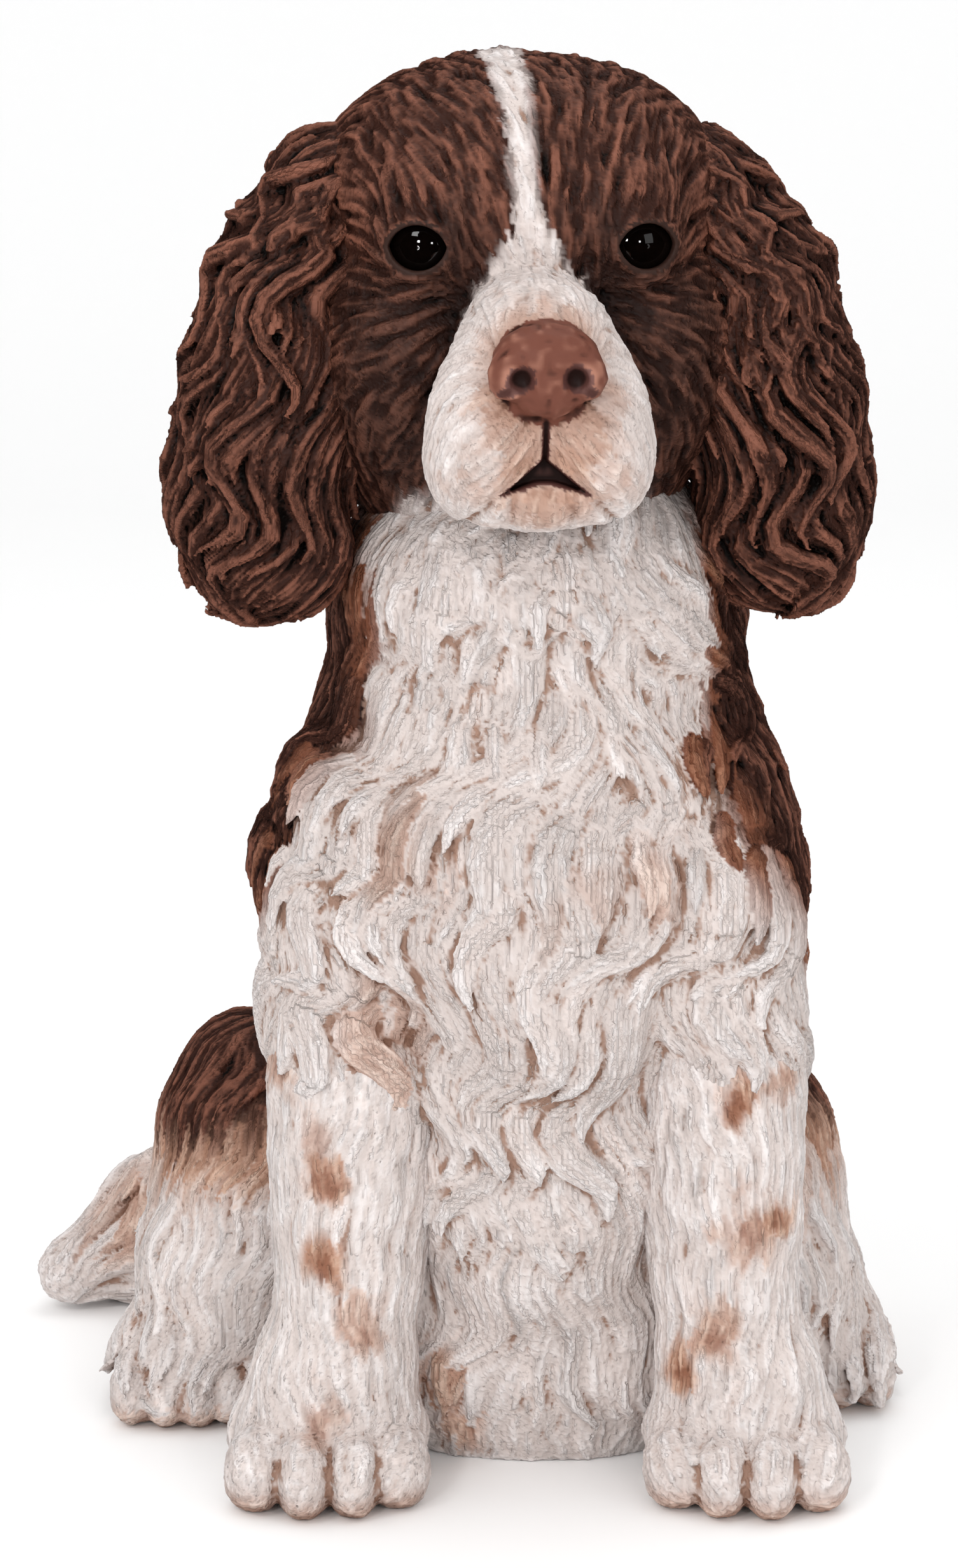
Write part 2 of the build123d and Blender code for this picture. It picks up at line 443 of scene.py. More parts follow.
def plain(paint, count):
    """One paint all over."""
    return [np.tile(shade, (count, 1)) for shade in paint]


def mixed(paints, paint, share):
    """Lays a (body, groove, ridge) paint over what is there, as thick as share."""
    return [old + (new - old) * share[:, None] for old, new in zip(paints, paint)]


def patch(points, centre, radii, ragged, seed, edge):
    """1 inside an ellipsoid and 0 outside it, with a ragged edge."""
    near = np.sqrt((((points - centre) / radii) ** 2).sum(1))
    near = near + ragged * (noise(points, 5.0, seed) - 0.5)
    near = near + 0.5 * ragged * (noise(points, 2.2, seed + 1) - 0.5)
    return ramp(near, 1 + edge / 2, 1 - edge / 2)


def add_object(name, data):
    """A new object in the scene."""
    thing = bpy.data.objects.new(name, data)
    bpy.context.scene.collection.objects.link(thing)
    return thing


def new_material(name):
    """A material, its nodes, its links and its shader."""
    material = bpy.data.materials.new(name)
    material.use_nodes = True
    nodes = material.node_tree.nodes
    return material, nodes, material.node_tree.links, nodes["Principled BSDF"]


def make_piece(node, clay, fur, paint, place, streak=0.55):
    """Meshes the clay, paints it, and puts it in the row frame as the piece that stands for a CAD node.

    Streak is how far the edge of a patch is drawn out along the locks that cross it.
    """
    points, faces = largest_part(*clay.surface())
    cell = np.clip(np.round((points - clay.low) / clay.step).astype(int), 0, clay.size - 1)
    at = (cell[:, 0], cell[:, 1], cell[:, 2])
    owner = clay.owner[at]
    middles = np.concatenate(fur.middles)
    roots = np.where(owner[:, None] >= 0, middles[np.maximum(owner, 0)], points)
    # Relief is low in the creases, where the groove shade lays wash and painted shade. It is high on the
    # crests, where the ridge shade lays dry-brush and a painted highlight.
    relief = clay.sample(points, clay.smoothed(RELIEF_SPAN)) / (0.42 * RELIEF_SPAN) + 0.5
    relief = np.clip(relief, 0, 1)
    body, groove, ridge = paint((1 - streak) * points + streak * roots, owner)
    tint = np.random.default_rng(5).normal(1, 0.055, fur.count + 1)[owner]
    along = clay.along[at].astype(float)
    furred = owner > NOSE_MARK
    strand = strands(points, fur.directions(points, owner, along)) * furred
    rows = place(points + clay.outward(points) * (STRAND_DEPTH * strand)[:, None]) * MM
    rows[:, 2] = np.maximum(rows[:, 2], 0)

    mesh = bpy.data.meshes.new(f"{node}_sculpt")
    mesh.vertices.add(len(rows))
    mesh.vertices.foreach_set("co", rows.astype(np.float32).ravel())
    mesh.loops.add(faces.size)
    mesh.loops.foreach_set("vertex_index", faces.ravel())
    mesh.polygons.add(len(faces))
    mesh.polygons.foreach_set("loop_start", np.arange(0, faces.size, 4, dtype=np.int32))
    mesh.polygons.foreach_set("use_smooth", np.ones(len(faces), bool))
    mesh.update(calc_edges=True)

    def attribute(label, kind, key, values):
        layer = mesh.attributes.new(label, kind, "POINT")
        layer.data.foreach_set(key, values.astype(np.float32).ravel())

    for label, shade in (("paint_body", body), ("paint_groove_wash_and_shade", groove), ("paint_ridge_drybrush_and_highlight", ridge)):
        shade = np.clip(shade * tint[:, None], 0, 1)
        attribute(label, "FLOAT_COLOR", "color", np.column_stack([shade, np.ones(len(rows))]))
    comb = np.stack([clay.across[at], along, (owner % 97) * 3.7], 1)
    attribute("comb", "FLOAT_VECTOR", "vector", comb)
    for label, values in (("combed", inside_lock(owner, faces)), ("strand", strand), ("relief", relief)):
        attribute(label, "FLOAT", "value", values)
    mesh.materials.append(FUR_PAINT)

    piece = add_object(mesh.name, mesh)
    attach(piece, "root")
    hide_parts(node)


def largest_part(points, faces):
    """The mesh without the bubbles and crumbs that are not joined to the rest of it."""
    label = np.arange(len(points))
    settled = False
    while not settled:
        lowest = label[faces].min(1)
        joined = label.copy()
        for corner in faces.T:
            np.minimum.at(joined, label[corner], lowest)
            np.minimum.at(joined, corner, lowest)
        joined = joined[joined]
        settled = np.array_equal(joined, label)
        label = joined
    part = label[faces[:, 0]]
    faces = faces[part == np.bincount(part).argmax()]
    used, corners = np.unique(faces, return_inverse=True)
    return points[used], corners.reshape(faces.shape).astype(np.int32)


def strands(points, way):
    """Fine hairs between -1 and 1: noise averaged along the way the hair lies."""
    total = np.zeros(len(points), np.float32)
    for shift in np.linspace(-STRAND_LENGTH / 2, STRAND_LENGTH / 2, 9):
        total += noise(points + shift * way, STRAND_WIDTH, 211)
    return np.clip((total / 9 - 0.5) * 8, -1, 1)


def inside_lock(owner, faces):
    """1 at the vertices that have only their own lock round them, 0 where two locks meet."""
    corners = owner[faces]
    edge = corners.min(1) != corners.max(1)
    value = (owner >= 0).astype(np.float32)
    value[faces[edge].ravel()] = 0
    return value


def cloud(nodes, links, place, scale, detail):
    """Procedural noise over the given coordinates."""
    texture = nodes.new("ShaderNodeTexNoise")
    texture.inputs["Scale"].default_value = scale
    texture.inputs["Detail"].default_value = detail
    links.new(place, texture.inputs["Vector"])
    return texture.outputs["Fac"]


def painted_fur():
    """Matt paint with a dark wash and painted shade in the grooves, and dry-brushed paint and a painted
    highlight on the ridges.
    """
    material, nodes, links, shader = new_material("painted_fur")

    def attribute(label, output="Fac"):
        node = nodes.new("ShaderNodeAttribute")
        node.attribute_name = label
        return node.outputs[output]

    def maths(operation, first, second):
        node = nodes.new("ShaderNodeMath")
        node.operation = operation
        for socket, value in zip(node.inputs, (first, second)):
            if isinstance(value, (int, float)):
                socket.default_value = value
            else:
                links.new(value, socket)
        return node.outputs[0]

    def spread(value, low, high):
        node = nodes.new("ShaderNodeMapRange")
        node.interpolation_type = "SMOOTHSTEP"
        links.new(value, node.inputs["Value"])
        node.inputs["From Min"].default_value = low
        node.inputs["From Max"].default_value = high
        return node.outputs[0]

    def blend(share, first, second):
        node = nodes.new("ShaderNodeMix")
        node.data_type = "RGBA"
        links.new(share, node.inputs["Factor"])
        links.new(first, node.inputs["A"])
        links.new(second, node.inputs["B"])
        return node.outputs["Result"]

    scale = nodes.new("ShaderNodeVectorMath")
    scale.operation = "MULTIPLY"
    links.new(attribute("comb", "Vector"), scale.inputs[0])
    scale.inputs[1].default_value = (1 / HAIRLINE, 0.035 / HAIRLINE, 1.0)
    hairs = cloud(nodes, links, scale.outputs[0], 1.0, 2.0)
    mottle = cloud(nodes, links, nodes.new("ShaderNodeTexCoord").outputs["Object"], 160.0, 4.0)

    combed = maths("MULTIPLY", maths("SUBTRACT", hairs, 0.5), attribute("combed"))
    combed = maths("ADD", combed, maths("MULTIPLY", attribute("strand"), 0.22))
    hair_push = maths("MULTIPLY", combed, 1.2)
    mottle_push = maths("MULTIPLY", maths("SUBTRACT", mottle, 0.5), 0.35)
    height = maths("ADD", maths("ADD", attribute("relief"), hair_push), mottle_push)
    # Low places take the groove shade (wash and painted shade), and high places take the ridge shade
    # (dry-brush and painted highlight).
    base = blend(spread(height, 0.05, 0.45), attribute("paint_groove_wash_and_shade", "Color"),
                 attribute("paint_body", "Color"))
    base = blend(spread(height, 0.52, 1.25), base, attribute("paint_ridge_drybrush_and_highlight", "Color"))
    links.new(base, shader.inputs["Base Color"])

    rough = nodes.new("ShaderNodeMapRange")
    links.new(mottle, rough.inputs["Value"])
    rough.inputs["To Min"].default_value = 0.42
    rough.inputs["To Max"].default_value = 0.6
    links.new(rough.outputs[0], shader.inputs["Roughness"])
    shader.inputs["Specular IOR Level"].default_value = 0.16

    bump = nodes.new("ShaderNodeBump")
    bump.inputs["Strength"].default_value = 1.0
    bump.inputs["Distance"].default_value = 1.2 * MM
    links.new(maths("ADD", combed, maths("MULTIPLY", mottle, 0.3)), bump.inputs["Height"])
    links.new(bump.outputs["Normal"], shader.inputs["Normal"])
    return material


# ---- where things are

def box_mm(node):
    """A node's two corners."""
    low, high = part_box(node)
    return np.array(low) / MM, np.array(high) / MM


def middle(node):
    """The middle of a node's box."""
    low, high = box_mm(node)
    return (low + high) / 2


def anchor(node):
    """The middle of a node's box, on its lowest level."""
    return np.array([*middle(node)[:2], box_mm(node)[0][2]])


EYE_BOX_Y = -25.35  # middle of the eyes' boxes in the head's own frame, whose origin is the neck joint
eye_line = middle("eye_left") - middle("eye_right")
HEAD_TURN = math.atan2(eye_line[1], eye_line[0])
HEAD_X = np.array([math.cos(HEAD_TURN), math.sin(HEAD_TURN), 0.0])
HEAD_Y = np.array([-HEAD_X[1], HEAD_X[0], 0.0])
HEAD_ORIGIN = (middle("eye_left") + middle("eye_right")) / 2 - EYE_BOX_Y * HEAD_Y
HEAD_ORIGIN[2] = box_mm("head")[0][2]


def from_head(points):
    """From the head's own frame, which faces -Y, to the row frame."""
    level = np.outer(points[:, 0], HEAD_X) + np.outer(points[:, 1], HEAD_Y)
    return HEAD_ORIGIN + level + points[:, 2:] * [0, 0, 1]


def both_sides(guides):
    """The (place, direction) guides, each repeated in mirror image where it is off the middle plane."""
    result = []
    for place, direction in guides:
        result.append((place, direction))
        if place[0]:
            result.append(((-place[0], *place[1:]), (-direction[0], *direction[1:])))
    return result


# ---- head

# Each ball is (centre, radii), and stands for its mirror image too where it is off the middle plane.
HEAD_BALLS = [
    ((0, 14, 51), (43.5, 40, 43.5)),
    ((16, 2, 66), (24, 26, 25)),
    ((0, -8, 65), (33, 25, 27)),
    ((17, -23, 69), (11, 9, 8)),
    ((23, -6, 38), (20, 26, 26)),
    ((0, 36, 48), (30, 17, 32)),
    ((0, 10, 16), (36, 32, 24)),
    ((0, -40, 46), (13, 28, 10)),
    ((0, -46, 35), (18, 20, 17)),
    ((10.3, -50, 27), (11, 18, 14.5)),
    ((12.6, -47, 20), (8.4, 16.5, 10)),
    ((0, -47, 15), (10.5, 17, 7)),
]
EYE_R = 8.4  # radius of a glass eye's dome
EYE_SPOT = np.array([20.5, -24.0, 60.5])  # middle of the left eye
EYE_LOOK = unit(np.array([0.25, -1.0, 0.03]))
NOSE_SPOT = np.array([0, -66.5, 41.5])
NOSE_KEEP_OUT = np.array([11.2, 8.0, 10.0])  # radii round the nose where no lock grows

HEAD_FLOW = both_sides([
    ((0, -66, 48), (0, 0.6, 0.8)),
    ((0, -45, 54), (0, 1.0, 0.35)),
    ((0, -34, 64), (0, 0.4, 0.9)),
    ((7, -30, 76), (0.3, 0.4, 0.9)),
    ((0, -12, 93), (0, 1, 0.2)),
    ((0, 20, 95), (0, 1, -0.1)),
    ((20, -22, 82), (0.6, 0.5, 0.6)),
    ((24, -30, 70), (0.55, 0.3, 0.75)),
    ((34, -20, 66), (0.75, 0.6, 0.1)),
    ((34, -20, 52), (0.7, 0.6, -0.45)),
    ((13, -36, 60), (0.3, 0.3, 0.9)),
    ((24, -32, 45), (0.6, 0.5, -0.6)),
    ((38, -8, 36), (0.35, 0.6, -0.7)),
    ((30, -22, 18), (0.3, 0.3, -0.9)),
    ((17, -48, 38), (0.55, 0.65, -0.5)),
    ((21, -50, 22), (0.3, 0.45, -0.85)),
    ((9, -68, 26), (0.8, 0.1, -0.6)),
    ((6, -66, 9), (0.1, 0.3, -1)),
    ((36, 6, 78), (0.6, 0.3, -0.7)),
    ((0, 52, 50), (0, 0, -1)),
    ((34, 30, 40), (0.2, 0.2, -1)),
    ((34, 0, 4), (0.05, 0, -1)),
    ((0, -32, 4), (0, -0.1, -1)),
    ((0, 40, 8), (0, 0, -1)),
])
# Half width of the white on the face, as (height, half width).
BLAZE = ((98, 4.4), (84, 2.3), (73, 1.8), (66, 2.4), (60, 4.0), (56, 7.0), (52, 11.0), (48, 15.5), (43, 19.5),
         (35, 23.5), (0, 28.0))


# Tan shading round the nose and mouth and ticking on the bridge, as (place, radii, strength).
FACE_TAN = (
    ((0, -66, 43), (15, 11, 14), 0.75),
    ((0, -66, 28), (14, 14, 11), 0.75),
    ((0, -58, 19), (17, 14, 8), 0.55),
    ((-8, -52, 56), (2.6, 3.4, 2.2), 0.75),
    ((4, -54, 57), (2.4, 3.0, 2.0), 0.7),
    ((8, -46, 57), (2.2, 3.0, 2.4), 0.6),
    ((-2, -44, 60), (1.8, 2.4, 2), 0.5),
    ((0, -60, 15), (9, 12, 4), 0.5),
)
# Painted shade beside the muzzle and at the inner corners of the eyes, on both sides.
FACE_PAINTED_SHADE = (((24, -24, 32), (16, 26, 30), 0.6), ((13, -32, 56), (8, 12, 12), 0.4))


def paint_head(points, owner):
    """Liver, with a white blaze that widens over the muzzle, a white throat, tan shading, and painted shade
    beside the muzzle and at the inner corners of the eyes.
    """
    paints = plain(LIVER, len(points))
    x, y, z = points.T
    ragged = 3.0 * (noise(points, 6, 21) - 0.5) + 2.0 * (noise(points, 2.4, 22) - 0.5)
    heights, widths = zip(*BLAZE[::-1])
    width = np.interp(z - 0.35 * np.clip(-30 - y, 0, 30), heights, widths)
    centre = -3.5 * np.clip((z - 60) / 37, 0, 1)
    front = ramp(y, 26, 8)
    outward = np.abs(x - centre) + ragged * np.clip(width / 12, 0.35, 1)
    muzzle_end = ramp(y + 0.7 * ragged + 0.6 * np.clip(np.abs(x) - 14, 0, 9), -31, -36)
    blaze = ramp(outward, width + 1.2, width - 1.2) * front * np.where(z < 53, muzzle_end, 1)
    one_side = np.stack([np.abs(x), y, z], 1)
    # Painted shade beside the muzzle and at the inner eye corners, in the lid colour.
    for spot, radii, share in FACE_PAINTED_SHADE:
        paints = mixed(paints, RIM, share * patch(one_side, spot, radii, 0.6, 33, 0.9))
    throat = ramp(z + 0.5 * ragged, 14, 6) * ramp(np.abs(x) + ragged, 26, 20) * ramp(y, 0, -12)
    paints = mixed(paints, WHITE, np.maximum(blaze, throat))
    for spot, radii, share in FACE_TAN:
        paints = mixed(paints, TAN, share * patch(points, spot, radii, 0.5, 31, 0.8))
    for mark, paint in ((NOSE_MARK, NOSE), (RIM_MARK, RIM), (MOUTH_MARK, MOUTH)):
        paints = mixed(paints, paint, (owner == mark).astype(float))
    return paints


def away_from_features(points):
    """True where fur may grow on the head: not on the eyes, nose or mouth."""
    free = (((points - NOSE_SPOT) / NOSE_KEEP_OUT) ** 2).sum(1) > 1
    for flip in (1, -1):
        eye = EYE_SPOT * [flip, 1, 1]
        reach = points - eye
        gap = np.linalg.norm(reach, axis=1)
        facing = (reach @ (EYE_LOOK * [flip, 1, 1])) / np.maximum(gap, 1)
        free &= ~((gap < 13.5) & (facing > 0.72))
    free &= ~((np.abs(points[:, 0]) < 7) & (points[:, 1] < -58) & (np.abs(points[:, 2] - 19) < 4))
    return free


def sculpt_head():
    form = Clay((-56, -84, -14), (56, 62, 104), FORM_STEP)
    for centre, radii in HEAD_BALLS:
        form.ball_pair(centre, radii, 9.0 if radii[0] > 20 else 6.0)
    for flip in (1, -1):
        form.ball(EYE_SPOT * [flip, 1, 1], (10.2, 10.2, 9.6), 4.0)
    clay = form.finer(STEP)
    fur = Fur(form, clay, lambda p: guided(p, HEAD_FLOW), 11)

    def muzzle(p):
        return (p[:, 1] < -36) & (p[:, 2] < 61) & away_from_features(p)

    def face(p):
        return ~muzzle(p) & (p[:, 1] < 12) & (p[:, 2] > 0) & away_from_features(p)

    def behind(p):
        return (p[:, 1] >= 8) & (p[:, 2] > -8)

    fur.grow(Coat(2.0, 8, 2.2, 0.9, 1, swirl=0.35, lift=0.35, groove=0), muzzle)
    fur.grow(Coat(2.1, 10, 2.2, 1.5, 1, wave=0.35, wavelength=11, swirl=0.5, lift=0.5, groove=0), face)
    fur.grow(Coat(4.4, 24, 4.8, 2.6, 3, wave=1.4, wavelength=18, swirl=0.5), behind)
    fur.settle(0.4)
    for flip in (1, -1):
        carve_eye(clay, flip)
    model_nose(clay)
    carve_nostrils_and_mouth(clay)
    make_piece("head", clay, fur, paint_head, from_head)


def carve_eye(clay, flip):
    """Lids round an almond opening, and room behind it for the glass eye."""
    eye = EYE_SPOT * [flip, 1, 1]
    look = EYE_LOOK * [flip, 1, 1]
    right = unit(np.cross([0, 0, 1], look))
    top = np.cross(look, right)
    cells, (x, y, z) = clay.window(eye - 16, eye + 16)
    x, y, z = x - eye[0], y - eye[1], z - eye[2]
    gap = np.sqrt(x * x + y * y + z * z)
    across, up, ahead = (x * way[0] + y * way[1] + z * way[2] for way in (right, top, look))
    upper, lower = np.sqrt(across ** 2 + (up + 1.7) ** 2) - 6.2, np.sqrt(across ** 2 + (up - 1.6) ** 2) - 6.0
    almond = np.maximum(upper, lower)
    lid = np.maximum(np.maximum(gap - 10.2, np.abs(almond) - 1.2), -ahead)
    clay.join(cells, lid, 1.4)
    clay.owner[cells] = np.where((almond < 1.1) & (gap < 10.9) & (ahead > 0), RIM_MARK, clay.owner[cells])
    clay.carve(cells, np.maximum(almond, -ahead), 0.5)
    clay.carve(cells, gap - EYE_R - 0.15, 0.3)


def model_nose(clay):
    """The nose leather: a broad top, a narrower lower part, two wings and a pebbled skin."""
    before = clay.depth.copy()
    clay.ball(NOSE_SPOT + [0, 0, 2.2], (10.2, 7.0, 6.6), 1.2)
    clay.ball(NOSE_SPOT + [0, 0, -2.6], (7.4, 6.6, 6.6), 2.0)
    for flip in (1, -1):
        clay.ball((flip * 7.4, -69.0, 40.6), (3.9, 4.6, 4.6), 1.6)
    nose = clay.depth < before - 0.02
    clay.owner[nose] = NOSE_MARK
    clay.depth[nose] += 0.6 * (noise(clay.low + np.argwhere(nose) * clay.step, 1.6, 201) - 0.5)


def carve_nostrils_and_mouth(clay):
    """Nostrils with their side slits, the groove down to the lip, the mouth, and the edges of the lips."""
    before = clay.depth.copy()
    for flip in (1, -1):
        clay.ball((flip * 5.2, -75.5, 40.2), (2.8, 4.8, 3.2), 0.9, carve=True)
        clay.rod((flip * 6.4, -74.5, 38.4), (flip * 9.6, -71.0, 36.4), 1.5, 0.7, 0.8, carve=True)
    clay.rod((0, -75.4, 44), (0, -74.5, 34), 0.3, 0.7, 0.8, carve=True)
    cells, (x, y, z) = clay.window((-2, -80, 21), (2, -54, 33))
    clay.depth[cells] += 0.8 * np.clip(1 - np.abs(x) / 0.8, 0, 1) * ramp(z, 33, 29)
    cells, (x, y, z) = clay.window((-12, -80, 12), (12, -54, 28))
    upper_lip, lower_lip = (np.abs(x) * 0.82 + (z - 23.6)) * 0.75, 18.2 + 1.1 * np.cos(x * 0.3) - z
    clay.carve(cells, np.maximum(np.maximum(upper_lip, lower_lip), y + 60.5), 1.2)
    clay.owner[clay.depth > before + 0.12] = MOUTH_MARK
    cells, (x, y, z) = clay.window((-24, -80, 4), (24, -46, 22))
    for flip in (1, -1):
        aside = (flip * x - 8.5) * 0.76 + (z - 17.5) * 0.65
        along = (flip * x - 8.5) * 0.65 - (z - 17.5) * 0.76
        lip_edge = np.clip(1 - np.abs(aside) / 1.5, 0, 1) * ramp(along, 1, 4) * ramp(along, 12, 7)
        clay.depth[cells] += 0.9 * lip_edge


# ---- ears

EAR_BALLS = [
    ((52.5, -4, 0), (14, 15, 15)),
    ((52, -3, 17), (15.5, 21, 21)),
    ((47.5, -1, 38), (15.5, 22, 25)),
    ((40, 2, 57), (13.5, 19, 19)),
    ((33, 4, 71), (11.5, 15, 11)),
]


def sculpt_ear(name, flip):
    node = "ear_" + name
    form = Clay((14, -42, -34), (84, 42, 98), FORM_STEP)
    for centre, radii in EAR_BALLS:
        form.ball(centre, radii, 8.0)
    clay = form.finer(STEP)

    def heading(points):
        x, y, z = points.T
        outward = 0.02 * (x - 40) + 0.25 * ramp(z, 50, 80)
        return unit(np.stack([outward, 0.012 * (y - 2), np.full(len(x), -1.0)], 1))

    fur = Fur(form, clay, heading, 40 + flip)
    fur.grow(Coat(5.0, 40, 4.2, 3.6, 2, wave=2.6, wavelength=27, swirl=0.4, groove=0.4),
             lambda p: p[:, 2] > -8)
    fur.grow(Coat(8.0, 46, 4.8, 5.0, 3, wave=4.0, wavelength=24, swirl=0.5, lift=0.5, groove=0.4),
             lambda p: p[:, 2] > 18)
    fur.grow(Coat(6.5, 14, 4.2, 4.2, 3, wave=2.2, wavelength=11, swirl=1.6, lift=0.7, groove=0.4),
             lambda p: (p[:, 2] > 26) & (p[:, 2] < 72) & (p[:, 0] > 36 + 0.3 * (70 - p[:, 2])))
    fur.settle(0.3)

    def paint(points, owner):
        return plain(LIVER, len(points))

    make_piece(node, clay, fur, paint, lambda p: from_head(p * [flip, 1, 1]))


# ---- torso

TORSO_BALLS = [
    ((0, -4, 140), (48, 44, 50)),
    ((0, -4, 182), (41, 38, 38)),
    ((0, -22, 190), (33, 26, 22)),
    ((36, -16, 120), (18.5, 31, 34)),
    ((37, -25, 88), (15.5, 19, 28)),
    ((0, -28, 68), (24, 16, 34)),
    ((0, 8, 80), (44, 46, 52)),
    ((0, 22, 34), (48, 50, 46)),
    ((0, -30, 125), (30, 27, 45)),
    ((0, -8, 22), (36, 19, 28)),
    ((0, 28, 100), (36, 36, 60)),
]
TORSO_FLOW = both_sides([
    ((0, -45, 200), (0, -0.3, -1)),
    ((12, -55, 185), (0.35, -0.2, -0.9)),
    ((26, -45, 185), (0.5, 0, -0.8)),
    ((14, -60, 155), (-0.15, -0.1, -1)),
    ((30, -50, 150), (0.2, 0, -1)),
    ((16, -60, 120), (-0.3, 0, -1)),
    ((0, -62, 100), (0, 0, -1)),
    ((34, -44, 120), (-0.1, 0, -1)),
    ((50, -16, 150), (0.2, 0.25, -1)),
    ((54, 0, 110), (0.1, 0.3, -1)),
    ((0, -50, 60), (0, 0, -1)),
    ((12, -42, 25), (0.4, -0.1, -0.7)),
    ((0, 50, 150), (0, 0.4, -1)),
    ((40, 40, 100), (0.3, 0.3, -1)),
    ((0, 80, 50), (0, 0, -1)),
])


# Tan patches on the chest and belly, as (place, radii, strength). The last one is painted shade in the gap
# between the belly feathering and the left foreleg.
TORSO_TAN = (
    ((-22, -55, 145), (6.5, 14, 9), 0.7),
    ((26, -55, 139), (6.5, 14, 9), 0.6),
    ((10, -58, 136), (5, 14, 5), 0.35),
    ((-31, -45, 104), (6, 20, 13), 0.65),
    ((-17, -28, 25), (4.5, 14, 8), 0.9),
    ((-15, -30, 11), (5, 14, 5.5), 0.85),
    # Painted shade in the gap between the belly feathering and the left foreleg.
    ((24, -28, 66), (4, 16, 12), 0.5),
)


def paint_torso(points, owner):
    """White in front and below, liver over the neck, shoulders and back, with soft tan patches, one of them
    painted shade beside the left foreleg.
    """
    paints = plain(WHITE, len(points))
    x, y, z = points.T
    ragged = 9 * (noise(points, 14, 61) - 0.5) + 6 * (noise(points, 5, 62) - 0.5)
    side_edge = z - np.where(x > 0, 162, 172) + 1.6 * np.maximum(np.abs(x) - 33, -4)
    edge = side_edge + ragged + 0.3 * (y + 40).clip(0, 40)
    outward = np.abs(x) + 0.4 * ragged
    back = ramp(y + ragged, -14, -4) * ramp(z + ragged + 0.4 * y, 92, 104)
    paints = mixed(paints, RUST, np.maximum(ramp(edge, -14, -2) * ramp(outward, 29, 33), back))
    paints = mixed(paints, LIVER, np.maximum(ramp(edge, -5, 4) * ramp(outward, 32, 37), back))
    for spot, radii, share in TORSO_TAN:
        paints = mixed(paints, TAN, share * patch(points, spot, radii, 0.7, 66, 0.8))
    return paints


def sculpt_torso():
    origin = anchor("torso") * [1, 0, 1]
    form = Clay((-66, -76, -4), (66, 96, 216), FORM_STEP)
    for centre, radii in TORSO_BALLS:
        form.ball_pair(centre, radii, 12.0)
    form.floor()
    clay = form.finer(BODY_STEP)
    fur = Fur(form, clay, lambda p: guided(p, TORSO_FLOW), 17)

    def on_leg(p):
        return (np.abs(p[:, 0]) > 20) & (p[:, 1] < -6) & (p[:, 2] < 103)

    def chest(p):
        return (p[:, 1] < -24) & (p[:, 2] > 82) & (np.abs(p[:, 0]) < 52) & ~on_leg(p)

    def belly(p):
        return (p[:, 1] < 0) & (p[:, 2] < 46) & (p[:, 2] > 3)

    def feathering(p):
        return (p[:, 1] < 0) & (p[:, 2] >= 44) & (p[:, 2] < 96) & (np.abs(p[:, 0]) < 34)

    def rest(p):
        return ~chest(p) & ~belly(p) & ~feathering(p) & ~on_leg(p) & (p[:, 2] > 3) & (p[:, 2] < 208)

    fur.grow(Coat(3.6, 16, 3.2, 1.6, 2, wave=0.6, wavelength=14, swirl=0.5), belly)
    fur.grow(Coat(4.6, 26, 4.8, 2.6, 3, wave=1.6, wavelength=20, swirl=0.6), rest)
    fur.grow(Coat(5.4, 38, 5.4, 2.6, 3, wave=2.0, wavelength=26, swirl=0.5), feathering)
    fur.grow(Coat(5.6, 36, 8.0, 3.0, 5, wave=2.4, wavelength=28, swirl=0.8), chest)
    fur.grow(Coat(9.0, 38, 10.0, 5.0, 6, wave=3.6, wavelength=27, swirl=1.5, lift=0.5),
             lambda p: chest(p) & (p[:, 2] > 92) & (p[:, 2] < 178))
    fur.grow(Coat(6.5, 26, 6.0, 3.4, 4, wave=2.0, wavelength=20, swirl=0.9, lift=0.5),
             lambda p: chest(p) & (p[:, 2] > 170) & (np.abs(p[:, 0]) < 34))
    fur.settle(0.8)
    clay.floor()
    make_piece("torso", clay, fur, paint_torso, lambda p: p + origin)


# ---- legs and tail

FORELEG_BALLS = [
    ((-3, 2.5, 88), (16.5, 20, 29)),
    ((-3, -1, 76), (16, 18, 34)),
    ((-1, -4, 48), (14.5, 15.5, 34)),
    ((3, -6, 22), (16.0, 15.5, 16)),
    ((3.5, -5, 9), (20.5, 16.0, 12)),
]
FORE_TOES = ((-11.5, -20.0), (-2.5, -25.5), (8.0, -26.5), (18.0, -22.0))
# Brown spots on the front of each foreleg: (X, Y, height, size, strength).
LEFT_SPOTS = ((0, -18, 87, 4.5, 1.0), (10, -14, 91, 3.5, 0.7), (4, -18, 60, 6.5, 0.7), (9, -16, 62, 3.5, 0.9),
              (-4, -18, 37, 5.0, 0.8), (-10, -18, 28, 4.0, 1.0))
RIGHT_SPOTS = ((3, -18, 69, 4.5, 0.9), (4, -18, 53, 4.5, 1.0), (-4, -18, 39, 4.5, 0.7),
               (5, -18, 20, 5.0, 0.6), (6, -16, 100, 5.0, 0.6), (5, -18, 80, 4.0, 0.5),
               (12, -10, 92, 4.0, 0.7))


def leg_heading(points):
    """Down the leg, then forward over the paw."""
    x, y, z = points.T
    low = ramp(z, 26, 8)
    return unit(np.stack([0.12 * np.sin(y * 0.13 + x * 0.1), -0.05 - 0.9 * low, -1.0 + 0.45 * low], 1))


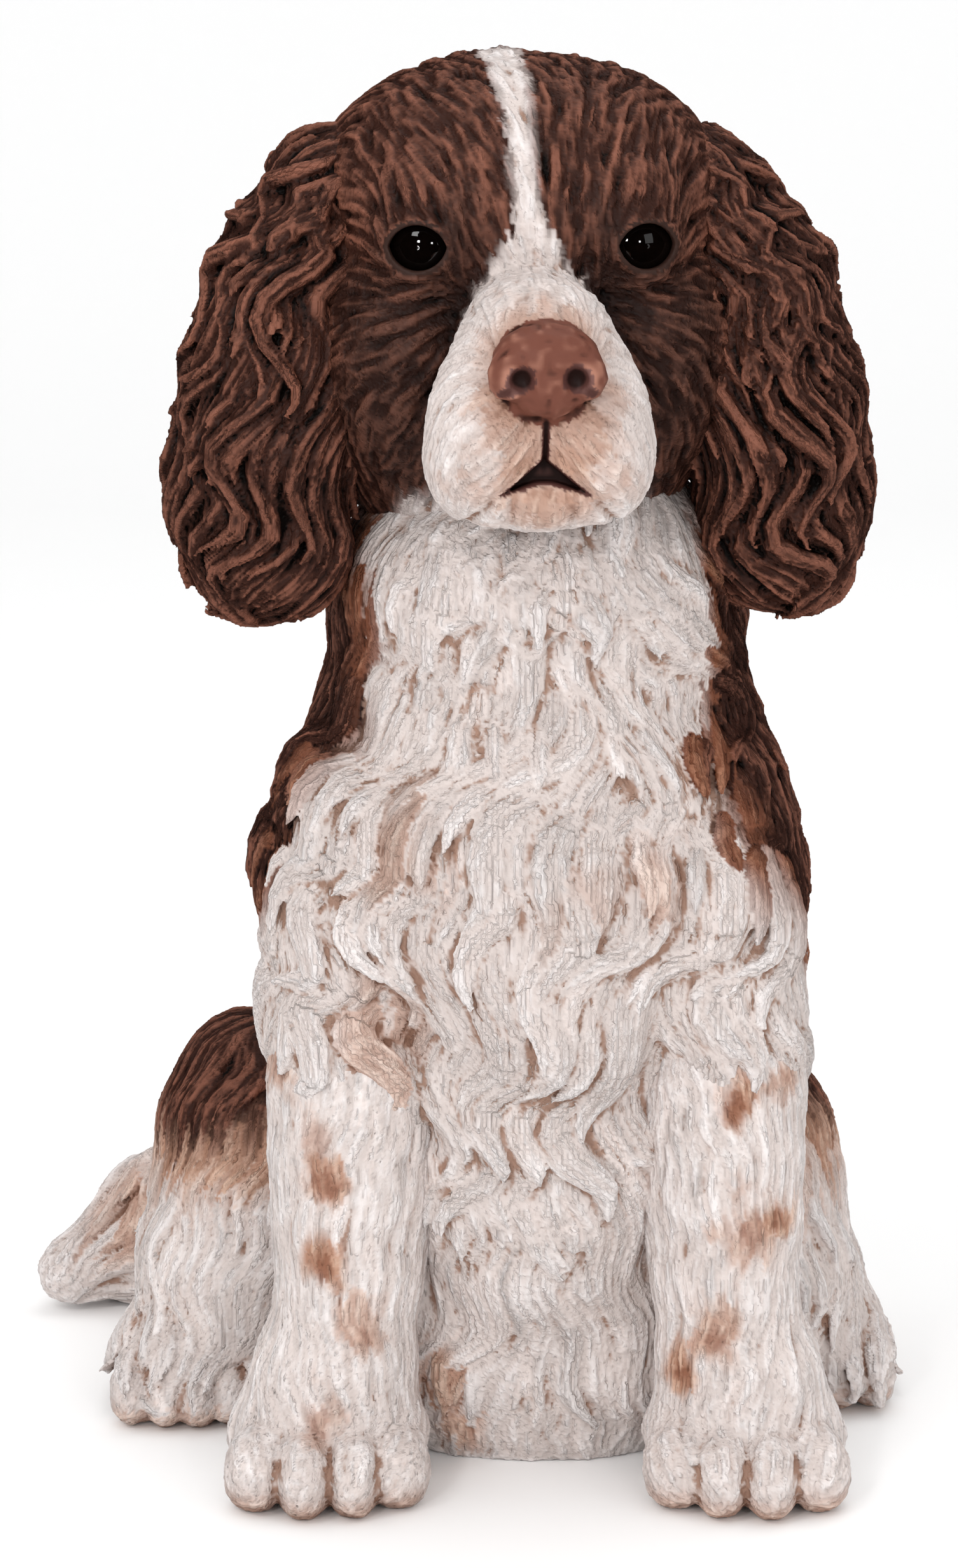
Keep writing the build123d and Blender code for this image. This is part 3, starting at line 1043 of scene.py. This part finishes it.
def sculpt_foreleg(name, flip, spots):
    node = "foreleg_" + name
    origin = anchor(node)
    form = Clay((-34, -40, -4), (34, 40, 142), FORM_STEP)
    for centre, radii in FORELEG_BALLS:
        form.ball(centre, radii, 9.0)
    for x, y in FORE_TOES:
        form.ball((x, y + 1.5, 7.0), (6.4, 10.0, 8.2), 3.0)
    form.floor()
    clay = form.finer(STEP)
    fur = Fur(form, clay, leg_heading, 80 + flip)
    fur.grow(Coat(3.0, 14, 3.4, 1.3, 2, wave=0.6, wavelength=15, swirl=0.7, lift=0.4, groove=0.12),
             lambda p: p[:, 2] > 15)
    fur.grow(Coat(2.2, 7, 2.4, 0.7, 1, swirl=0.2, lift=0.3, groove=0),
             lambda p: (p[:, 2] > 2.5) & (p[:, 2] < 16))
    fur.grow(Coat(5.5, 26, 4.6, 2.4, 3, wave=1.6, wavelength=20, swirl=0.5, lift=0.6),
             lambda p: (p[:, 1] > 6) & (p[:, 2] > 30))
    fur.settle(0.5)
    for (left, _), (right, _) in zip(FORE_TOES, FORE_TOES[1:]):
        between = (left + right) / 2
        cells, (x, y, z) = clay.window((between - 3, -40, 0), (between + 3, -12, 18))
        crease = np.clip(1 - np.abs(x - between) / 2.2, 0, 1) * ramp(z, 17, 10)
        clay.depth[cells] += 0.6 * crease * ramp(y, -14, -20)
    clay.floor()

    def paint(points, owner):
        paints = plain(WHITE, len(points))
        for x, y, z, size, share in spots:
            wide, small = (size, 14, size * 1.3), (size * 0.55, 12, size * 0.75)
            paints = mixed(paints, TAN, share * patch(points, (x, y, z), wide, 1.1, 91, 0.9))
            paints = mixed(paints, RUST, 0.7 * share * patch(points, (x, y, z), small, 1.1, 93, 0.9))
        toes = ramp(points[:, 2], 8, 1) * ramp(points[:, 1], -16, -28)
        return mixed(paints, TAN, 0.8 * toes)

    make_piece(node, clay, fur, paint, lambda p: origin + p * [flip, 1, 1], 0.25)


HIND_BALLS = [
    ((-4, 3, 32), (22, 42, 36)),
    ((-4, 4, 54), (20, 34, 25)),
    ((4, -10, 22), (16, 26, 22)),
]


def sculpt_hind_leg(name, flip, brown, lean, foot_y):
    """A haunch with its foot. Brown is the height where the liver starts."""
    node = "hind_leg_" + name
    origin = anchor(node)
    foot_x = box_mm(node)[1][0] - origin[0] - 14.5
    form = Clay((-42, -60, -4), (42, 60, 100), FORM_STEP)
    for (x, y, z), radii in HIND_BALLS:
        form.ball((x - lean, y, z - lean), radii, 10.0)
    form.ball((foot_x, foot_y + 18, 9), (14.5, 22, 12), 7.0)
    for step in (-1.5, -0.5, 0.5, 1.5):
        form.ball((foot_x + 7.2 * step, foot_y + 1.6 * abs(step), 6.0), (4.6, 8.5, 7.0), 1.6)
    form.floor()
    clay = form.finer(BODY_STEP)

    def heading(points):
        x, y, z = points.T
        low = ramp(z, 34, 10)
        forward = 0.35 + 0.9 * low * (y < 0)
        return unit(np.stack([0.25 + 0.1 * np.sin(0.1 * y), -forward, -1.0 + 0.4 * low], 1))

    fur = Fur(form, clay, heading, 120 + flip)
    fur.grow(Coat(4.2, 24, 4.2, 2.4, 3, wave=1.4, wavelength=20, swirl=0.6), lambda p: p[:, 2] > 24)
    fur.grow(Coat(2.8, 12, 2.2, 1.1, 1, wave=0.4, wavelength=12, swirl=0.5, groove=0),
             lambda p: (p[:, 2] > 2.5) & (p[:, 2] <= 26))
    fur.grow(Coat(7.0, 30, 5.4, 3.0, 3, wave=2.2, wavelength=24, swirl=0.8, lift=0.6),
             lambda p: (p[:, 2] > 12) & (p[:, 2] < 60) & (p[:, 1] > -22))
    fur.settle(0.8)
    clay.floor()

    def paint(points, owner):
        paints = plain(WHITE, len(points))
        x, y, z = points.T
        ragged = 9 * (noise(points, 12, 131) - 0.5) + 5 * (noise(points, 4, 132) - 0.5)
        paints = mixed(paints, TAN, ramp(z + ragged, brown - 16, brown))
        paints = mixed(paints, LIVER, ramp(z + ragged, brown - 3, brown + 8))
        toes = ramp(z, 9, 1) * ramp(y, foot_y + 6, foot_y - 4)
        return mixed(paints, TAN, 0.8 * toes)

    make_piece(node, clay, fur, paint, lambda p: origin + p * [flip, 1, 1])


# The tail's middle line and thickness, from its root to its tip: (X, Y, height, radius).
TAIL_LINE = ((58, -24, 15, 10), (28, -1, 15, 13), (-4, 6, 16, 15), (-28, -4, 15, 14), (-48, -15, 9, 4))


def sculpt_tail():
    origin = anchor("tail")
    form = Clay((-72, -44, -4), (66, 40, 50), FORM_STEP)
    for start, end in zip(TAIL_LINE, TAIL_LINE[1:]):
        form.rod(start[:3], end[:3], start[3], end[3], 8.0)
    form.floor()
    clay = form.finer(BODY_STEP)
    line = [np.array(point[:3], float) for point in TAIL_LINE]
    guides = [(tuple((a + b) / 2), tuple(b - a - [0, 0, 9])) for a, b in zip(line, line[1:])]
    fur = Fur(form, clay, lambda p: guided(p, guides), 151)
    fur.grow(Coat(5.0, 28, 5.6, 3.4, 3, wave=2.4, wavelength=22, swirl=0.8, lift=0.6), lambda p: p[:, 2] > 3)
    fur.settle(0.8)
    clay.floor()

    def paint(points, owner):
        paints = plain(WHITE, len(points))
        return mixed(paints, TAN, 0.8 * patch(points, (-24, -12, 26), (16, 12, 8), 0.6, 155, 0.8))

    make_piece("tail", clay, fur, paint, lambda p: p + origin)


# ---- eyes

def black_glass():
    """Black glass, with a trace of dark brown in it."""
    material, nodes, links, shader = new_material("eye_glass")
    trace = cloud(nodes, links, nodes.new("ShaderNodeTexCoord").outputs["Object"], 900.0, 2.0)
    shades = nodes.new("ShaderNodeValToRGB")
    shades.color_ramp.elements[0].color = (0.0005, 0.0004, 0.0004, 1)
    shades.color_ramp.elements[1].color = (0.003, 0.0015, 0.001, 1)
    links.new(trace, shades.inputs["Fac"])
    links.new(shades.outputs["Color"], shader.inputs["Base Color"])
    shader.inputs["Roughness"].default_value = 0.03
    shader.inputs["Specular IOR Level"].default_value = 0.5
    return material


def dress_eyes():
    """The CAD domes are shown as they are, in black glass."""
    glass = black_glass()
    for name in ("eye_left", "eye_right"):
        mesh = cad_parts[name].data
        mesh.materials.clear()
        mesh.materials.append(glass)


# ---- studio

def studio():
    """A pale floor, a pale surround and soft lights, with the camera a little above the dog."""
    world = bpy.data.worlds.new("surround")
    bpy.context.scene.world = world
    world.use_nodes = True
    surround = world.node_tree.nodes["Background"]
    surround.inputs["Color"].default_value = (1, 1, 1, 1)
    surround.inputs["Strength"].default_value = 1.03
    world.cycles_visibility.glossy = False

    turns = np.linspace(0, math.pi / 2, 13)
    sweep = [(1.2 + 1.5 * math.sin(turn), 1.5 - 1.5 * math.cos(turn)) for turn in turns]
    profile = [(-4.0, 0.0), *sweep, (2.7, 4.0)]
    corners = [(side * 4.0, y, z) for y, z in profile for side in (-1, 1)]
    faces = [(2 * i, 2 * i + 1, 2 * i + 3, 2 * i + 2) for i in range(len(profile) - 1)]
    mesh = bpy.data.meshes.new("floor")
    mesh.from_pydata(corners, [], faces)
    mesh.polygons.foreach_set("use_smooth", [True] * len(faces))
    floor = add_object("floor", mesh)
    pale, _, _, shader = new_material("floor_pale")
    shader.inputs["Base Color"].default_value = (0.97, 0.97, 0.97, 1)
    shader.inputs["Roughness"].default_value = 0.7
    mesh.materials.append(pale)
    floor.visible_glossy = False

    low, high = np.array(CAD_BOX[0]), np.array(CAD_BOX[1])
    height = high[2] - low[2]
    aim = np.array([-0.012, 0.0, height * 0.477])
    for name, place, size, power in (
        ("key", (-0.6, -0.95, 1.05), 0.4, 3.0),
        ("fill", (0.8, -0.9, 0.6), 0.5, 0.8),
        ("top", (0.1, 0.3, 1.3), 0.8, 2.4),
        ("left_catch", (-0.34, -1.0, 0.52), 0.1, 1.6),
        ("right_catch", (0.3, -1.05, 0.45), 0.08, 0.6),
    ):
        light = bpy.data.lights.new(name, "AREA")
        light.size = size
        light.energy = power
        lamp = add_object(name, light)
        lamp.location = place
        point_at(lamp, aim)

    camera = add_object("camera", bpy.data.cameras.new("camera"))
    camera.data.sensor_fit = "VERTICAL"
    distance, rise = 1.1, math.radians(12.5)
    camera.data.angle = 2 * math.atan(height * 0.553 / distance)
    camera.location = aim + distance * np.array([0, -math.cos(rise), math.sin(rise)])
    camera.data.clip_start = 0.01
    point_at(camera, aim)
    bpy.context.scene.camera = camera
    bpy.context.scene.view_settings.view_transform = "Standard"


def point_at(thing, aim):
    """Turns a light or camera to face a point."""
    thing.rotation_euler = (Vector(aim) - thing.location).to_track_quat("-Z", "Y").to_euler()


FUR_PAINT = painted_fur()
sculpt_head()
sculpt_ear("left", 1)
sculpt_ear("right", -1)
sculpt_torso()
sculpt_foreleg("left", 1, LEFT_SPOTS)
sculpt_foreleg("right", -1, RIGHT_SPOTS)
sculpt_hind_leg("left", 1, 60, 5, -27)
sculpt_hind_leg("right", -1, 58, 0, -39)
sculpt_tail()
dress_eyes()
studio()
